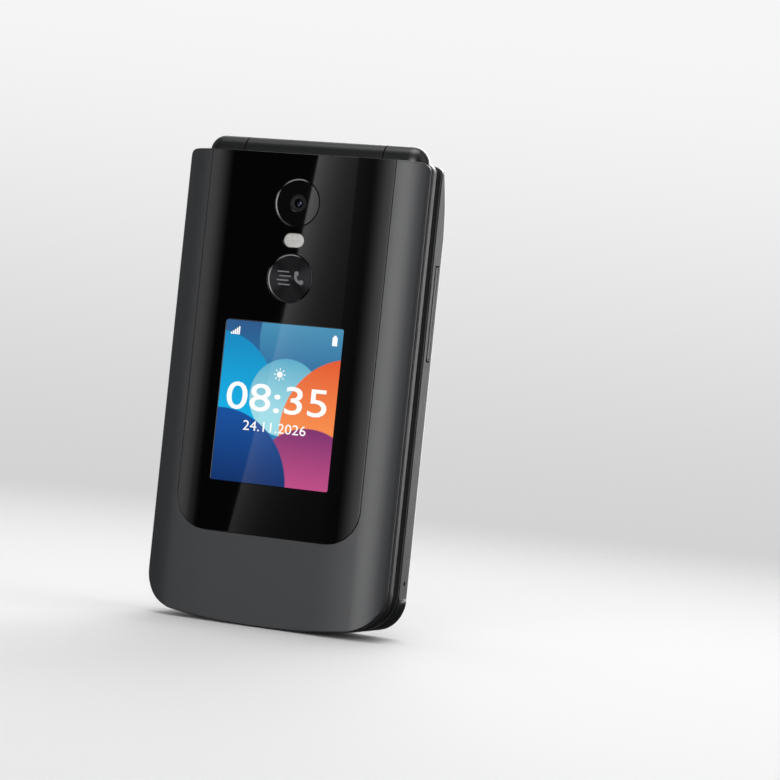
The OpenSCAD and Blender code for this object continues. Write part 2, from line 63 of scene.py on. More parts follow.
bl_info = {
    "name": "Flip phone finishes",
    "version": (1, 0, 0),
    "blender": (4, 5, 0),
    "location": "3D View > Sidebar > Flip phone",
    "description": "Dresses the packed flip phone in its mouldings, panels, keys and displays",
    "category": "Object",
}

MM = 0.001
MERGE = 0.001 * MM          # vertices closer than this are one
FLAT = math.radians(0.4)    # faces that turn less than this are one face
SHARP = math.radians(28)    # an edge that turns more than this is a corner
SMOOTH = math.radians(50)   # shading runs over an edge that turns less than this
CRISP = math.radians(14)    # and on turned pieces and gloss panels, over one that turns less than this
END = 0.6 * MM              # distance of the first and the last cut across a face from its ends
CAP_HEIGHT = 0.73           # height of a figure in the built-in font, as a share of its size
DISH_SLOPE = 0.36           # slope of the dished rims of the camera window and the round key
INLAY = 0.012 * MM          # how far a print or a picture stands out of its face and reaches into it
WAVE_PITCH = math.tau / 20  # distance between the rings of a Wave node at a scale of 1

RECORD = frame["record"]
BODY = {node: body for body, nodes in RECORD["behaviour"]["bodies"].items() for node in nodes}
SLOT = {part["node"]: part["material_slot"] for part in RECORD["subparts"]}

# Faces of the closed phone: the columns are right, up and out as each is read
FRONT = Matrix(((1, 0, 0), (0, 0, -1), (0, 1, 0)))
INSIDE = Matrix(((1, 0, 0), (0, 0, 1), (0, -1, 0)))    # the lid's inner side, read with the lid open
SIDE = Matrix(((0, 0, 1), (1, 0, 0), (0, 1, 0)))       # the right side


# ---- Frame and mesh helpers ----

def linear(code):
    """Linear colour of an sRGB hex value such as #4b4d4f."""
    values = [int(code[i:i + 2], 16) / 255 for i in (1, 3, 5)]
    return tuple(v / 12.92 if v <= 0.04045 else ((v + 0.055) / 1.055) ** 2.4 for v in values)


def middle(node):
    """Middle of a node's box, and its size."""
    low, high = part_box(node)
    return (low + high) / 2, high - low


def face_middle(node, side):
    """Middle of the face of a node's box that looks out of that side."""
    centre, size = middle(node)
    out = side.col[2]
    return centre + out * (abs(out.dot(size)) / 2)


def select_only(piece):
    bpy.ops.object.select_all(action="DESELECT")
    piece.select_set(True)
    bpy.context.view_layer.objects.active = piece


def edit(piece):
    """Enters edit mode on a piece, with nothing selected."""
    select_only(piece)
    bpy.ops.object.mode_set(mode="EDIT")
    bpy.ops.mesh.select_mode(type="FACE")
    bpy.ops.mesh.select_all(action="DESELECT")


def select_mesh():
    bpy.ops.mesh.select_all(action="SELECT")


def object_mode():
    bpy.ops.object.mode_set(mode="OBJECT")


def select_faces(piece, wanted):
    """Enters edit mode with the faces selected for which wanted(face) is true."""
    edit(piece)
    object_mode()
    for face in piece.data.polygons:
        face.select = wanted(face)
    bpy.ops.object.mode_set(mode="EDIT")


def top_face(piece, side):
    """Selects the outermost face that looks out of a side."""
    out = side.col[2]
    top = max(out.dot(v.co) for v in piece.data.vertices)
    select_faces(piece, lambda f: f.normal.dot(out) > 0.99 and out.dot(f.center) > top - 0.01 * MM)


def settle(piece, node, material):
    """Puts a finished piece on the body of a CAD node, with its material."""
    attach(piece, BODY[node])
    piece.data.materials.clear()
    piece.data.materials.append(material)
    return piece


def stand_in(piece, node, key=None):
    """Puts a finished piece in a CAD node's place. key names its finish, where that isn't the slot's."""
    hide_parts(node)
    return settle(piece, node, finish(key or SLOT[node]))


def node_copy(node, name, key=None):
    """A merged copy of a CAD node, which it replaces."""
    select_only(frame["nodes"][node])
    bpy.ops.object.duplicate()
    piece = bpy.context.active_object
    piece.name = piece.data.name = name
    del piece["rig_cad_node"]
    bpy.ops.mesh.customdata_custom_splitnormals_clear()
    edit(piece)
    select_mesh()
    bpy.ops.mesh.remove_doubles(threshold=MERGE)
    bpy.ops.mesh.dissolve_limited(angle_limit=FLAT)
    object_mode()
    return stand_in(piece, node, key)


def modify(piece, kind, **settings):
    """Adds a modifier to a piece and applies it."""
    select_only(piece)
    bpy.ops.object.modifier_add(type=kind)
    modifier = piece.modifiers[-1]
    for name, value in settings.items():
        setattr(modifier, name, value)
    bpy.ops.object.modifier_apply(modifier=modifier.name)


def shade(piece, rounded=False, corner=SMOOTH):
    """Smooth shading that keeps flat faces flat, by their area or by what a bevel left of them."""
    select_only(piece)
    bpy.ops.object.shade_smooth_by_angle(angle=corner)
    modify(piece, "WEIGHTED_NORMAL", keep_sharp=True, weight=50, use_face_influence=rounded)


def break_edges(piece, radius, segments=2):
    """Rounds every corner of a piece a little, as moulding leaves it."""
    modify(piece, "BEVEL", width=radius, segments=segments, limit_method="ANGLE", angle_limit=SHARP,
           use_clamp_overlap=False, miter_outer="MITER_ARC", face_strength_mode="FSTR_ALL")
    shade(piece, rounded=True)


def ribbed(piece, across, places):
    """Cuts the faces of a piece along planes, so that shading bends only near its ends."""
    edit(piece)
    for place in places:
        select_mesh()
        bpy.ops.mesh.bisect(plane_co=across * place, plane_no=across)
    object_mode()


def finished(node, name, radius, segments=2, columns=(), rows=()):
    """A CAD node's shape with moulded edges, cut into columns and rows before its edges are rounded."""
    piece = node_copy(node, name)
    ribbed(piece, FRONT.col[0], columns)
    ribbed(piece, FRONT.col[1], rows)
    break_edges(piece, radius, segments)
    return piece


def rows_of(node, pitch):
    """Heights about a pitch apart over a node, the first and the last close to its ends."""
    low, high = (corner.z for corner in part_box(node))
    span = high - low - 2 * END
    count = round(span / pitch)
    return [low + END + span * i / count for i in range(count + 1)]


def close_up(piece):
    """Merges doubles and turns the faces outwards."""
    edit(piece)
    select_mesh()
    bpy.ops.mesh.remove_doubles(threshold=MERGE)
    bpy.ops.mesh.normals_make_consistent(inside=False)
    object_mode()


def drawn_line(name, points):
    """A chain of vertices drawn point by point, left in edit mode with its last vertex selected."""
    bpy.ops.object.select_all(action="DESELECT")
    bpy.ops.mesh.primitive_plane_add(size=MM, location=(0, 0, 0))
    piece = bpy.context.active_object
    piece.name = piece.data.name = name
    bpy.ops.object.mode_set(mode="EDIT")
    bpy.ops.mesh.select_mode(type="VERT")
    select_mesh()
    bpy.ops.mesh.merge(type="CENTER")
    bpy.ops.transform.translate(value=points[0])
    for a, b in zip(points, points[1:]):
        bpy.ops.mesh.extrude_vertices_move(TRANSFORM_OT_translate={"value": b - a})
    return piece


def turned(name, centre, side, profile, steps=72):
    """A turned piece. profile gives (radius, height) in metres about an axis through centre."""
    points = [centre + side @ Vector((radius, 0, height)) for radius, height in profile]
    piece = drawn_line(name, points)
    select_mesh()
    bpy.ops.mesh.spin(steps=steps, angle=math.tau, center=centre, axis=side.col[2])
    object_mode()
    close_up(piece)
    return piece


def plate(name, centre, side, outline, low, high):
    """A flat plate with an outline given as (right, up) from centre, between two heights."""
    points = [centre + side @ Vector((x, y, low)) for x, y in outline]
    piece = drawn_line(name, points)
    select_mesh()
    bpy.ops.mesh.edge_face_add()
    select_mesh()
    bpy.ops.mesh.extrude_region_move(TRANSFORM_OT_translate={"value": side.col[2] * (high - low)})
    object_mode()
    close_up(piece)
    return piece


def words(name, text, centre, side, height, depth, narrow=1.0, weight=0.0):
    """Figures of a given height, standing depth out of a face."""
    bpy.ops.object.select_all(action="DESELECT")
    bpy.ops.object.text_add(rotation=side.to_euler(), location=centre)
    piece = bpy.context.active_object
    piece.name = name
    text_data = piece.data
    text_data.body = text
    text_data.align_x = "CENTER"
    text_data.align_y = "CENTER"
    text_data.size = height / CAP_HEIGHT
    text_data.offset = weight * text_data.size
    text_data.extrude = depth
    text_data.resolution_u = 4
    piece.scale.x = narrow
    bpy.ops.object.convert(target="MESH")
    bpy.ops.object.transform_apply(location=True, rotation=True, scale=True)
    close_up(piece)
    return piece


def arc(x, y, radius, start, end, steps):
    """Points along an arc, angles in degrees."""
    turn = [math.radians(start + (end - start) * i / steps) for i in range(steps + 1)]
    return [(x + radius * math.cos(a), y + radius * math.sin(a)) for a in turn]


def rounded_outline(width, height, radius, steps=6):
    x, y = width / 2 - radius, height / 2 - radius
    return (arc(x, y, radius, 0, 90, steps) + arc(-x, y, radius, 90, 180, steps)
            + arc(-x, -y, radius, 180, 270, steps) + arc(x, -y, radius, 270, 360, steps))


def joined(name, pieces):
    """Joins pieces into one."""
    select_only(pieces[0])
    for piece in pieces[1:]:
        piece.select_set(True)
    bpy.ops.object.join()
    pieces[0].name = pieces[0].data.name = name
    return pieces[0]


def assembled(name, pieces, node, key):
    """Joins pieces into one that moves with a CAD node, with its finish."""
    settle(joined(name, pieces), node, finish(key))


# ---- Materials ----

def add_node(tree, kind, settings=None, values=None, links=None):
    """Adds a node with its own settings, the values of its sockets and what feeds them, which is an
    output, or a node for its first output."""
    node = tree.nodes.new(kind)
    for name, value in (settings or {}).items():
        setattr(node, name, value)
    for name, value in (values or {}).items():
        node.inputs[name].default_value = value
    for name, source in (links or {}).items():
        if isinstance(source, bpy.types.Node):
            source = source.outputs[0]
        tree.links.new(source, node.inputs[name])
    return node


def made(name, build):
    """The material of that name, built once."""
    material = bpy.data.materials.get(name)
    if material is None:
        material = bpy.data.materials.new(name)
        material.use_nodes = True
        material.node_tree.nodes.clear()
        shader = build(material.node_tree)
        add_node(material.node_tree, "ShaderNodeOutputMaterial", links={"Surface": shader})
        material.diffuse_color = (*shader.inputs["Base Color"].default_value[:3], 1)
    return material


def grained(tree, colour, grain, spread=0.0, roughness=0.5, rough_spread=0.0, relief=0.0, **values):
    """A Principled shader whose colour, roughness and relief follow a fine random grain. The colour is
    a hex value or the name of its setting, grain the size of a grain and relief its height, in mm."""
    colour = linear(colour) if colour[0] == "#" else getattr(bpy.context.scene.phone_colours, colour)
    shader = add_node(tree, "ShaderNodeBsdfPrincipled", values={
        "Base Color": (*colour, 1), "Roughness": roughness, **values})
    place = add_node(tree, "ShaderNodeTexCoord")
    noise = add_node(tree, "ShaderNodeTexNoise", values={
        "Scale": 1 / (grain * MM), "Detail": 2.0}, links={"Vector": place.outputs["Object"]})
    if spread:
        low, high = (tuple(c * (1 + s) for c in colour) for s in (-spread, spread))
        mixed = add_node(tree, "ShaderNodeMix", {"data_type": "RGBA"},
                         {"A": (*low, 1), "B": (*high, 1)}, {"Factor": noise})
        tree.links.new(mixed.outputs["Result"], shader.inputs["Base Color"])
    if rough_spread:
        ranged = add_node(tree, "ShaderNodeMapRange", values={
            "From Min": 0.3, "From Max": 0.7, "To Min": roughness - rough_spread,
            "To Max": roughness + rough_spread}, links={"Value": noise})
        tree.links.new(ranged.outputs["Result"], shader.inputs["Roughness"])
    if relief:
        bump = add_node(tree, "ShaderNodeBump", values={"Strength": 1.0, "Distance": relief * MM},
                        links={"Height": noise})
        tree.links.new(bump.outputs["Normal"], shader.inputs["Normal"])
    return shader


def frosted(tree):
    """Frosted polycarbonate with a grid of soft prisms."""
    shader = grained(tree, "#b4b3b0", grain=0.7, spread=0.22, roughness=0.3,
                     **{"Subsurface Weight": 0.35, "Subsurface Scale": 0.4 * MM,
                        "Subsurface Radius": (1.0, 0.95, 0.85), "Coat Weight": 1.0})
    place = add_node(tree, "ShaderNodeTexCoord")
    prisms = add_node(tree, "ShaderNodeTexVoronoi", values={"Scale": 1 / (0.45 * MM), "Randomness": 0.1},
                      links={"Vector": place.outputs["Object"]})
    bump = add_node(tree, "ShaderNodeBump", values={"Distance": 0.05 * MM}, links={"Height": prisms})
    tree.links.new(bump.outputs["Normal"], shader.inputs["Normal"])
    return shader


def spun(tree):
    """Metal whose turned rings, about the middle of the round key, spread light into fans. A fine tool
    leaves rings a tenth as wide, and they are drawn as coarse as they need to show."""
    ring_pitch = 0.5655 * MM
    place = add_node(tree, "ShaderNodeTexCoord")
    about = add_node(tree, "ShaderNodeMapping", {"vector_type": "TEXTURE"},
                     {"Location": face_middle("round_key", FRONT), "Rotation": FRONT.to_euler()},
                     {"Vector": place.outputs["Object"]})
    rings = add_node(tree, "ShaderNodeTexWave", {"wave_type": "RINGS", "rings_direction": "Z"},
                     {"Scale": WAVE_PITCH / ring_pitch, "Distortion": 0.0}, {"Vector": about})
    bump = add_node(tree, "ShaderNodeBump", values={"Distance": 0.004 * MM},
                    links={"Height": rings.outputs["Fac"]})
    tangent = add_node(tree, "ShaderNodeTangent", {"direction_type": "RADIAL", "axis": "Y"})
    return add_node(tree, "ShaderNodeBsdfPrincipled", values={
        "Base Color": (*linear("#232325"), 1), "Metallic": 0.9, "Roughness": 0.33, "Anisotropic": 0.97,
        "Anisotropic Rotation": 0.25}, links={"Normal": bump, "Tangent": tangent})


# Finish of each slot of the record, and of the pieces that have one of their own: the material and its
# process, and what grained() makes it from, or the function that does. A grain is a pit of the tool, a
# flake or a speck, and on glass and acrylic the slow wave of the sheet. The flakes of the lacquer and the
# specks of inks and satin plastics are finer than this, and are drawn as coarse as they need to show
FINISHES = {
    # Matt lacquer on moulded polycarbonate: a dry graphite grey with a fine metallic grain
    "shell_graphite": ("graphite lacquer, sprayed matt", dict(
        colour="shell", grain=0.2, spread=0.35, roughness=0.38, rough_spread=0.04, relief=0.004)),
    # ABS from a spark-eroded tool: darker than the lacquer, with a soft shine
    "side_graphite": ("dark ABS, satin moulded", dict(
        colour="side", grain=0.12, spread=0.1, roughness=0.3, rough_spread=0.04, relief=0.003)),
    # Acrylic sheet printed black on its back and hard coated: a deep black with a mirror face
    "gloss_black": ("acrylic, printed black and hard coated", dict(
        colour="panel", grain=14, roughness=0.012, rough_spread=0.006, IOR=1.5)),
    # Polycarbonate from a lightly etched tool: a dry black
    "matt_black": ("black polycarbonate, etched matt", dict(
        colour="#161617", grain=0.1, spread=0.12, roughness=0.52, relief=0.003)),
    # The camera's window is the same acrylic as the panel, a shade deeper
    "window_black": ("acrylic window, printed black", dict(
        colour="#060607", grain=10, roughness=0.012, rough_spread=0.005, IOR=1.62)),
    # Optical glass over a dark stop: its coating takes most of the shine and leaves it bluish
    "lens_glass": ("optical glass, coated against reflection", dict(
        colour="#030305", grain=2, spread=0.2, roughness=0.03, IOR=1.45,
        **{"Specular Tint": (*linear("#c8d2ff"), 1)})),
    # Polycarbonate, moulded with fine steps: a matt black that keeps stray light out of the lens
    "lens_barrel": ("black polycarbonate, stepped and matt", dict(
        colour="#131314", grain=0.06, spread=0.1, roughness=0.5, **{"Specular IOR Level": 0.15})),
    # Frosted polycarbonate over a lamp: a pale grey
    "flash_white": ("polycarbonate, frosted", frosted),
    # Aluminium, spun with a fine tool and dyed black
    "spun_black": ("aluminium, spun and dyed black", spun),
    # Pad-printed ink: a flat pale grey
    "pale_ink": ("pale grey ink, pad printed", dict(
        colour="#8f9092", grain=0.15, spread=0.08, roughness=0.5)),
    # Pad-printed ink of the call key: a clear green
    "green_ink": ("green ink, pad printed", dict(
        colour="#3fa45a", grain=0.15, spread=0.08, roughness=0.5)),
    # Pad-printed ink of the end key: a warm red
    "red_ink": ("red ink, pad printed", dict(
        colour="#c4403a", grain=0.15, spread=0.08, roughness=0.5)),
    # The grey ink under a clear hard coat, which dims it
    "grey_ink": ("grey ink under hard coat", dict(
        colour="#66676a", grain=0.15, spread=0.08, roughness=0.4)),
    # Polycarbonate key tops with a satin coat
    "key_black": ("black polycarbonate, satin keys", dict(
        colour="#1f2022", grain=0.1, spread=0.12, roughness=0.34, relief=0.002)),
    # Chemically hardened glass over an unlit panel
    "display_glass": ("hardened cover glass", dict(
        colour="#08080a", grain=12, roughness=0.02, rough_spread=0.008, IOR=1.51)),
    # The unlit edge of a display panel behind its cover
    "display": ("display glass, unlit", dict(
        colour="#0a0a0c", grain=5, roughness=0.035, rough_spread=0.01, IOR=1.5)),
    # White picture elements, lit from behind under the same cover
    "lit_white": ("display, white elements lit", dict(
        colour="#101010", grain=1, spread=0.05, roughness=0.035, IOR=1.5,
        **{"Emission Color": (*linear("#ffffff"), 1), "Emission Strength": 1.0})),
    # Pressed silicone rubber: a soft dark grey without shine
    "silicone": ("silicone rubber, pressed", dict(
        colour="#232324", grain=0.2, spread=0.12, roughness=0.72, relief=0.004)),
    # Epoxy board under a green solder mask
    "board_green": ("epoxy board, solder masked", dict(
        colour="#1f4a34", grain=0.8, spread=0.25, roughness=0.35, relief=0.01)),
    # Polyimide film over copper tracks: amber and slightly shiny
    "flex_amber": ("polyimide film, laminated", dict(
        colour="#b3742a", grain=0.5, spread=0.15, roughness=0.3)),
    # Aluminium pouch with a printed dark wrap
    "battery_black": ("polyester wrap, printed dark", dict(
        colour="#2c2d30", grain=1.5, spread=0.12, roughness=0.45, relief=0.01)),
    # Stainless steel as rolled and pressed
    "steel": ("stainless steel, rolled", dict(
        colour="#b9bcc0", grain=0.3, spread=0.08, roughness=0.3, rough_spread=0.08, Metallic=1.0)),
    # Die-cast zinc, dull and slightly grained
    "cast_zinc": ("zinc, die cast", dict(
        colour="#8d8f93", grain=0.25, spread=0.12, roughness=0.5, relief=0.01, Metallic=0.9)),
    # Black-oxide steel wire, woven
    "black_wire": ("steel wire, blackened", dict(
        colour="#3a3b3d", grain=0.1, spread=0.1, roughness=0.4, Metallic=0.7)),
}


def finish(key):
    """The material of a finish."""
    name, recipe = FINISHES[key]
    return made(name, recipe if callable(recipe) else lambda tree: grained(tree, **recipe))


# Picture on both displays: soft round hills, each (right, up, radius, colour at its foot, at its crest),
# in widths of the picture from its middle, the first behind the others
HILLS = (
    (0.42, 0.52, 0.62, "#2f6f9e", "#5fb2cf"),
    (-0.55, 0.02, 0.52, "#0fb4ea", "#1487bd"),
    (0.06, 0.06, 0.30, "#9fdbe6", "#57a9c6"),
    (0.62, -0.18, 0.58, "#ff9d55", "#e2562a"),
    (0.30, -0.62, 0.46, "#d0558c", "#7c2f6d"),
    (-0.46, -0.66, 0.60, "#030a3c", "#14509c"),
)
SKY = ("#1a7fb6", "#2d5a8c")


def lit_picture(name, centre, side, width):
    """A liquid crystal panel lit from behind, under a clear cover that is as shiny as the panel's."""
    def build(tree):
        place = add_node(tree, "ShaderNodeTexCoord")
        local = add_node(tree, "ShaderNodeMapping", {"vector_type": "TEXTURE"},
                         {"Location": centre, "Rotation": side.to_euler(), "Scale": (width,) * 3},
                         {"Vector": place.outputs["Object"]})
        flat = add_node(tree, "ShaderNodeVectorMath", {"operation": "MULTIPLY"},
                        {1: (1, 1, 0)}, {0: local})
        split = add_node(tree, "ShaderNodeSeparateXYZ", links={"Vector": flat})
        rise = add_node(tree, "ShaderNodeMapRange", values={"From Min": -0.1, "From Max": 0.62},
                        links={"Value": split.outputs["Y"]})
        picture = add_node(tree, "ShaderNodeMix", {"data_type": "RGBA"},
                           {"A": (*linear(SKY[0]), 1), "B": (*linear(SKY[1]), 1)}, {"Factor": rise})
        for x, y, radius, foot, crest in HILLS:
            away = add_node(tree, "ShaderNodeVectorMath", {"operation": "DISTANCE"},
                            {1: (x, y, 0)}, {0: flat})
            inside = add_node(tree, "ShaderNodeMapRange", {"interpolation_type": "SMOOTHSTEP"},
                              {"From Min": radius - 0.006, "From Max": radius + 0.006,
                               "To Min": 1.0, "To Max": 0.0}, {"Value": away.outputs["Value"]})
            rise = add_node(tree, "ShaderNodeMapRange",
                            values={"From Min": y - radius * 0.4, "From Max": y + radius},
                            links={"Value": split.outputs["Y"]})
            slope = add_node(tree, "ShaderNodeMix", {"data_type": "RGBA"},
                             {"A": (*linear(foot), 1), "B": (*linear(crest), 1)}, {"Factor": rise})
            picture = add_node(tree, "ShaderNodeMix", {"data_type": "RGBA"}, links={
                "A": picture.outputs["Result"], "B": slope.outputs["Result"], "Factor": inside})
        return add_node(tree, "ShaderNodeBsdfPrincipled", values={
            "Base Color": (*linear("#0d0d10"), 1), "Roughness": 0.012, "IOR": 1.5,
            "Emission Strength": 1.0}, links={"Emission Color": picture.outputs["Result"]})
    return made(name, build)


# ---- Settings ----

def length_setting(name, description, default, low, high, precision=5):
    """A length with its limits, in mm."""
    return bpy.props.FloatProperty(
        name=name, description=description, default=default * MM, min=low * MM, max=high * MM,
        unit="LENGTH", precision=precision)


def colour_setting(name, description, code):
    """A colour, kept as linear values."""
    return bpy.props.FloatVectorProperty(
        name=name, description=description, subtype="COLOR", size=3, min=0, max=1, default=linear(code))


def angle_setting(name, description, degrees):
    """An angle, kept in radians."""
    return bpy.props.FloatProperty(
        name=name, description=description, default=math.radians(degrees), subtype="ANGLE")


class PhoneSizes(bpy.types.PropertyGroup):
    """Sizes of the fine detail."""
    moulded_edge: length_setting(
        "Moulded edge", "Radius that moulding leaves on the edges of the housings", 0.12, 0.02, 0.2)
    panel_edge: length_setting("Panel edge", "Radius of the edges of the gloss panels", 0.08, 0.02, 0.15)
    dished_rim: length_setting(
        "Dished rim", "Width of the sloped rims of the camera window and the round key", 0.22, 0.05, 0.3)
    key_edge: length_setting("Key edge", "Radius of the edges of the key tops", 0.35, 0.1, 0.4)
    key_crown: length_setting("Key crown", "Height of the gentle dome of a key top", 0.08, 0, 0.15)
    legend: length_setting("Key legend", "Height of the figures on the keys", 3.2, 2, 4)
    clock: length_setting("Clock", "Height of the clock's figures on the outer display", 6.2, 4, 7)
    wire: length_setting(
        "Wire", "Diameter of a wire of the loudspeaker's mesh", 0.075, 0.05, 0.075, precision=6)
    wire_pitch: length_setting(
        "Wire pitch", "Distance between the wires of the loudspeaker's mesh", 0.24, 0.2, 0.5)


class PhoneColours(bpy.types.PropertyGroup):
    """Colours of the housing."""
    shell: colour_setting("Shells", "Lacquer of the lid shell and the back cover", "#2e2f31")
    side: colour_setting("Frames", "Plastic of both frames and the hinge barrel", "#171819")
    panel: colour_setting("Panels", "Print behind the gloss panels", "#020203")


class StageSettings(bpy.types.PropertyGroup):
    """Floor, light and camera."""
    floor_radius: length_setting(
        "Floor radius", "Radius of the floor, past which it fades away", 700, 150, 900, precision=3)
    paper: colour_setting("Floor paper", "Colour of the floor", "#e2e2e2")
    # The camera sees the wall with painted shade: lighter high up, darker where it meets the floor
    wall_high: colour_setting("Wall above", "Colour of the wall behind the phone, high up", "#f6f6f6")
    wall_low: colour_setting("Wall below", "Colour of the wall where it meets the floor", "#d2d2d2")
    ambient: bpy.props.FloatProperty(
        name="Ambient", description="Radiance of the studio between its softboxes",
        default=0.025, min=0, max=2)
    azimuth: angle_setting(
        "Azimuth", "Turn of the camera about the phone, from its front to its right", 22.693)
    elevation: angle_setting("Elevation", "Height of the camera over the horizon", -0.401)
    roll: angle_setting("Roll", "Turn of the camera about its own line of sight", 5.905)
    camera_at: bpy.props.FloatVectorProperty(
        name="Camera", description="Place of the camera",
        default=(235.82 * MM, -511.29 * MM, 49.94 * MM), subtype="TRANSLATION", unit="LENGTH")
    lens: bpy.props.FloatProperty(
        name="Lens", description="Focal length on a 36 mm sensor, in millimetres",
        default=118.74, min=20, max=300, unit="CAMERA")


class Step:
    """What the operators share."""
    bl_options = {"REGISTER", "UNDO"}


# ---- Housing ----

# Just inside the lines, right and left of the middle, where the flat of both faces turns into its crown
CROWN_STARTS = (-13.1 * MM, 13.1 * MM)


class PHONE_OT_shells(Step, bpy.types.Operator):
    """Lid shell and back cover, with their moulded edges"""
    bl_idname = "phone.shells"
    bl_label = "Shells"

    def execute(self, context):
        edge = context.scene.phone_sizes.moulded_edge
        for node, name in (("lid_shell", "lacquered_lid_shell"), ("rear_cover", "lacquered_back_cover")):
            finished(node, name, edge, columns=CROWN_STARTS, rows=rows_of(node, 5 * MM))
        return {"FINISHED"}


class PHONE_OT_frames(Step, bpy.types.Operator):
    """Base frame and lid frame with their hinge knuckles, the washers between these, and the volume key"""
    bl_idname = "phone.frames"
    bl_label = "Frames"

    def execute(self, context):
        edge = context.scene.phone_sizes.moulded_edge
        finished("base_frame", "moulded_base_frame", edge * 0.8)
        finished("lid_frame", "moulded_lid_frame", edge * 0.8)
        finished("volume_key", "moulded_volume_key", edge * 2, 3)

        axis = middle("hinge_shaft")[0]
        seam, gap, inner, outer = 16.5 * MM, 0.2 * MM, 2.65 * MM, 2.95 * MM
        washers = [turned("washer", Vector((x - gap / 2, axis.y, axis.z)), SIDE, [
            (inner, 0), (outer, 0), (outer, gap), (inner, gap), (inner, 0)]) for x in (-seam, seam)]
        assembled("punched_hinge_washers", washers, "base_frame", "silicone")
        return {"FINISHED"}


class PHONE_OT_panels(Step, bpy.types.Operator):
    """Gloss panels of the lid and of the back"""
    bl_idname = "phone.panels"
    bl_label = "Gloss panels"

    def execute(self, context):
        edge = context.scene.phone_sizes.panel_edge
        for node, name in (("front_panel", "coated_front_panel"), ("rear_panel", "coated_rear_panel")):
            low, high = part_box(node)
            ends = (low.z + END, high.z - END)
            panel = finished(node, name, edge, columns=CROWN_STARTS, rows=ends)
            shade(panel, rounded=True, corner=CRISP)
        return {"FINISHED"}


class PHONE_OT_bezels(Step, bpy.types.Operator):
    """Keypad bezel, display bezel, the rubber bumpers and the lip that keeps dust out"""
    bl_idname = "phone.bezels"
    bl_label = "Bezels"

    def execute(self, context):
        edge = context.scene.phone_sizes.moulded_edge
        finished("keypad_bezel", "etched_keypad_bezel", edge)
        finished("lid_bezel", "etched_display_bezel", edge)
        finished("lid_bumpers", "pressed_bumpers", edge * 2, 3)

        size = middle("lid_bezel")[1]
        face = face_middle("lid_bezel", INSIDE)
        wide, tall, sunk = 0.5 * MM, 0.56 * MM, 0.02 * MM
        side_x, side_low, side_high = size.x / 2 - 0.8 * MM, 9.5 * MM, 101 * MM
        foot_z, foot_length = 1.6 * MM, 36 * MM
        strips = [(sign * side_x, (side_low + side_high) / 2, wide, side_high - side_low) for sign in (1, -1)]
        strips.append((0, foot_z, foot_length, wide))
        lip = [plate("strip", Vector((x, face.y, z)), INSIDE, rounded_outline(across, high, wide * 0.48),
                     -sunk, tall) for x, z, across, high in strips]
        assembled("pressed_dust_lip", lip, "lid_bezel", "silicone")
        return {"FINISHED"}


# ---- Lid's face ----

class PHONE_OT_camera_window(Step, bpy.types.Operator):
    """Camera window, the lens barrel in it and the front lens"""
    bl_idname = "phone.camera_window"
    bl_label = "Camera"

    def execute(self, context):
        sizes = context.scene.phone_sizes
        size = middle("camera_window")[1]
        top = face_middle("camera_window", FRONT)
        radius, thick = size.x / 2, size.y
        lens_size = middle("camera_lens")[1]
        lens_radius, deep = lens_size.x / 2, lens_size.y
        rim, dish = sizes.dished_rim, sizes.dished_rim * DISH_SLOPE
        lip, hole = 0.04 * MM, lens_radius + 0.03 * MM
        window = turned("camera_window_disc", top, FRONT, [
            (hole, -thick), (radius, -thick), (radius, -lip), (radius - lip, 0), (radius - lip - rim, -dish),
            (hole + lip, -dish), (hole, -dish - lip), (hole, -thick)], steps=96)
        shade(window, corner=CRISP)
        stand_in(window, "camera_window")

        seat = face_middle("camera_lens", FRONT)
        pupil, step = lens_radius * 0.52, 0.05 * MM
        barrel = turned("camera_lens_barrel", seat, FRONT, [
            (lens_radius, -deep), (lens_radius, 0), (lens_radius - step, 0),
            (lens_radius - 2 * step, -step), (lens_radius * 0.76, -step), (lens_radius * 0.76, -2 * step),
            (pupil, -4 * step), (pupil, -deep), (lens_radius, -deep)], steps=64)
        shade(barrel, corner=CRISP)
        stand_in(barrel, "camera_lens", "lens_barrel")

        bulge, rest = pupil * 0.6, -5 * step
        dome = [(pupil * math.sin(a), rest - bulge + bulge * math.cos(a))
                for a in (math.radians(90 * i / 8) for i in range(9))]
        lens = turned("camera_front_lens", seat, FRONT, dome + [(pupil, -deep), (0, -deep)], steps=64)
        shade(lens)
        settle(lens, "camera_lens", finish("lens_glass"))
        return {"FINISHED"}


class PHONE_OT_flash(Step, bpy.types.Operator):
    """Frosted window over the flash lamp"""
    bl_idname = "phone.flash"
    bl_label = "Flash window"

    def execute(self, context):
        piece = node_copy("flash_lens", "frosted_flash_window")
        top_face(piece, FRONT)
        bpy.ops.mesh.bevel(offset=0.3 * MM, segments=4, affect="EDGES")
        object_mode()
        shade(piece)
        return {"FINISHED"}


